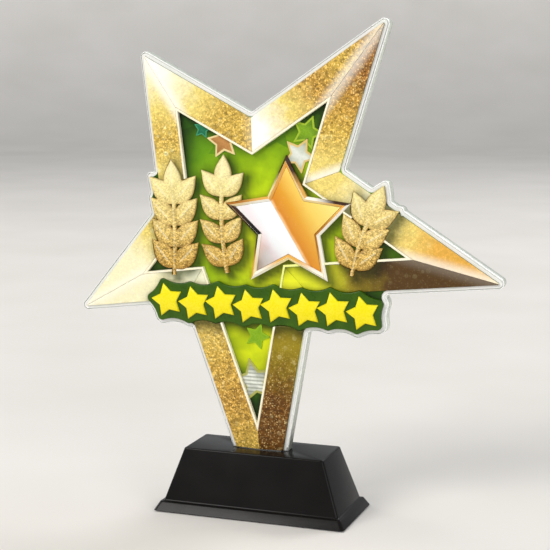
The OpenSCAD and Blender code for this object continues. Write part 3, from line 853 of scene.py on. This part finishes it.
def frustum(low, high, low_z, high_z):
    """A closed block whose bottom and top are centred rectangles of those sizes"""
    shape = bmesh.new()
    bmesh.ops.create_cube(shape, size=1)
    for v in shape.verts:
        size = high if v.co.z > 0 else low
        v.co.x = math.copysign(size[0] / 2, v.co.x)
        v.co.y = math.copysign(size[1] / 2, v.co.y)
        v.co.z = high_z if v.co.z > 0 else low_z
    return shape


def combine(shape, other, operation):
    """One closed shape joined to another, or cut by it"""
    pair = [show("part_a", shape, moulded), show("part_b", other, moulded)]
    change = pair[0].modifiers.new("combine", "BOOLEAN")
    change.object = pair[1]
    change.operation = operation
    change.solver = "MANIFOLD"
    bpy.context.view_layer.update()
    found = pair[0].evaluated_get(bpy.context.evaluated_depsgraph_get())
    result = bmesh.new()
    result.from_mesh(found.data)
    for old in pair:
        mesh = old.data
        bpy.data.objects.remove(old)
        bpy.data.meshes.remove(mesh)
    bmesh.ops.remove_doubles(result, verts=result.verts, dist=0.001 * MM)
    bmesh.ops.dissolve_limit(result, angle_limit=math.radians(0.5), verts=result.verts, edges=result.edges)
    return result


def level_ring(shape, z, above):
    """The edges at a height between a level face and a face that runs up or down from it"""
    found = []
    for e in shape.edges:
        if all(abs(v.co.z - z) < 1e-5 for v in e.verts):
            level = [f for f in e.link_faces if abs(f.normal.z) > 0.99]
            other = [f for f in e.link_faces if abs(f.normal.z) < 0.99]
            if level and other and (other[0].calc_center_median().z > z) == above:
                found.append(e)
    return found


moulded, moulded_shader = new_material("polished_black", {"Specular IOR Level": 0.13})
moulded_tone = ramp(moulded, noise(moulded, 12 * MM, 3), [(0.3, "121110"), (0.7, "161413")])
feed(moulded, moulded_tone.outputs["Color"], moulded_shader, "Base Color")
gloss(moulded, moulded_shader, 14 * MM, 0.2, 0.26)
bump(moulded, moulded_shader, noise(moulded, 0.35 * MM, 2), 0.08, 0.02 * MM)

shell_low, shell_high = (Vector(corner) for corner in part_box("base_shell"))
glue_low, glue_high = (Vector(corner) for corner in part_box("slot_adhesive"))
slot_size = Vector((glue_high.x - glue_low.x, glue_high.y - glue_low.y)) + Vector((SLOT_GAP, SLOT_GAP)) * 2
foot_size = Vector((shell_high.x - shell_low.x, shell_high.y - shell_low.y))
skirt_size = foot_size - Vector((SKIRT_LEAN, SKIRT_LEAN)) * 2
body_size = skirt_size - Vector((LEDGE_W, LEDGE_W)) * 2


def body_at(z, inset):
    """Width and depth of the body at a height, moved in all round"""
    rise = (z - SKIRT_TOP) / (shell_high.z - SKIRT_TOP)
    return body_size.lerp(SHELL_TOP, rise) - Vector((inset, inset)) * 2


skirt = frustum(foot_size, skirt_size, shell_low.z, SKIRT_TOP)
top = max(skirt.faces, key=lambda f: f.calc_center_median().z)
for size, z in ((body_size, SKIRT_TOP), (SHELL_TOP, shell_high.z)):
    top = bmesh.ops.extrude_discrete_faces(skirt, faces=[top])["faces"][0]
    for v in top.verts:
        v.co.x = math.copysign(size[0] / 2, v.co.x)
        v.co.y = math.copysign(size[1] / 2, v.co.y)
        v.co.z = z
hips = [e for e in skirt.edges if abs(e.verts[0].co.z - e.verts[1].co.z) > 2 * MM]
ease(skirt, hips, HIP_R, 5)
ease(skirt, level_ring(skirt, shell_high.z, False), TOP_R, 3)
ease(skirt, level_ring(skirt, SKIRT_TOP, True), COVE, 4)
ease(skirt, level_ring(skirt, SKIRT_TOP, False), SKIRT_R, 3)

roof_z = shell_high.z - SHELL_WALL
pocket_size = body_at(SEAT_Z, SHELL_WALL) + Vector((SEAT_W, SEAT_W)) * 2
socket_size = slot_size + Vector((SOCKET_WALL, SOCKET_WALL)) * 2
hollow = frustum(body_at(SEAT_Z - 1 * MM, SHELL_WALL), body_at(roof_z, SHELL_WALL), SEAT_Z - 1 * MM, roof_z)
hollow = combine(hollow, frustum(pocket_size, pocket_size, shell_low.z - 1 * MM, SEAT_Z), "UNION")
socket = frustum(socket_size, socket_size, glue_low.z - SOCKET_WALL, roof_z + 1 * MM)
hollow = combine(hollow, socket, "DIFFERENCE")
shape = combine(skirt, hollow, "DIFFERENCE")
shape = combine(shape, frustum(slot_size, slot_size, glue_low.z, shell_high.z + 1 * MM), "DIFFERENCE")
slot_rim = [e for e in level_ring(shape, shell_high.z, False)
            if all(abs(v.co.y) < slot_size[1] for v in e.verts)]
ease(shape, slot_rim, 0.08 * MM)
fit(show("moulded_base_shell", shape, moulded, sharp=40), "base_black", "base_shell")


# ---- Glue, ballast and tape ----
# Cured glue fills the bottom of the socket under the tongue. A steel plate, held to the bottom cover
# by foam tape, gives the base its weight.
def finish_node(node, material):
    """Gives a CAD node its material"""
    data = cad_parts[node].data
    data.materials.clear()
    data.materials.append(material)


glue, glue_shader = new_material("cured_glue", {"Roughness": 0.2})
glue_tone = ramp(glue, noise(glue, 2 * MM), [(0.35, "c9c7b8"), (0.65, "dddbd0")])
feed(glue, glue_tone.outputs["Color"], glue_shader, "Base Color")
bump(glue, glue_shader, noise(glue, 1 * MM), 0.3, 0.05 * MM)
finish_node("slot_adhesive", glue)

tape, tape_shader = new_material("foam_tape", {"Roughness": 0.85})
tape_tone = ramp(tape, noise(tape, 0.5 * MM), [(0.35, "6e6e6e"), (0.65, "8a8a8a")])
feed(tape, tape_tone.outputs["Color"], tape_shader, "Base Color")
bump(tape, tape_shader, noise(tape, 0.3 * MM), 0.3, 0.05 * MM)
finish_node("ballast_tape", tape)

steel, steel_shader = new_material("plated_steel", {"Metallic": 1.0})
stretched = add_node(steel, "ShaderNodeMapping", {"Vector": place(steel), "Scale": (40, 1200, 1200)})
strokes = noise(steel, 1, 3, stretched.outputs["Vector"])
steel_tone = ramp(steel, strokes, [(0.3, "8f9092"), (0.7, "b9babc")])
feed(steel, steel_tone.outputs["Color"], steel_shader, "Base Color")
feed(steel, levels(steel, strokes, [(0.3, 0.28), (0.7, 0.42)]), steel_shader, "Roughness")
bump(steel, steel_shader, strokes, 0.1, 0.02 * MM)
for node in ("ballast_plate", "cover_screws"):
    finish_node(node, steel)


# ---- Bottom cover ----
# A flat moulded cover with a fine spark texture closes the base, held by four countersunk screws
# plated with zinc.
spark, spark_shader = new_material("spark_black", {"Specular IOR Level": 0.3})
spark_tone = ramp(spark, noise(spark, 4 * MM), [(0.3, "1b1b1b"), (0.7, "232323")])
feed(spark, spark_tone.outputs["Color"], spark_shader, "Base Color")
gloss(spark, spark_shader, 1.5 * MM, 0.5, 0.65)
bump(spark, spark_shader, noise(spark, 0.25 * MM), 0.35, 0.03 * MM)
finish_node("bottom_cover", spark)


# ---- Foot pad ----
# A pad of black foam rubber, cut from sheet with rounded corners and stuck to the bottom cover. Its
# lower edge is crushed where it carries the trophy.
foam, foam_shader = new_material("foam_rubber", {"Roughness": 0.9, "Specular IOR Level": 0.2})
_, pore = cells(foam, 0.4 * MM)
feed(foam, ramp(foam, pore, [(0.0, "0c0c0c"), (0.6, "242424")]).outputs["Color"], foam_shader, "Base Color")
bump(foam, foam_shader, pore, 0.6, 0.1 * MM)

shape = from_cad("foot_pad")
pad_bottom = min(v.co.z for v in shape.verts)
lower = [e for e in shape.edges if all(abs(v.co.z - pad_bottom) < 1e-5 for v in e.verts)]
ease(shape, lower, 0.2 * MM)
fit(show("foam_foot_pad", shape, foam), "foam", "foot_pad")
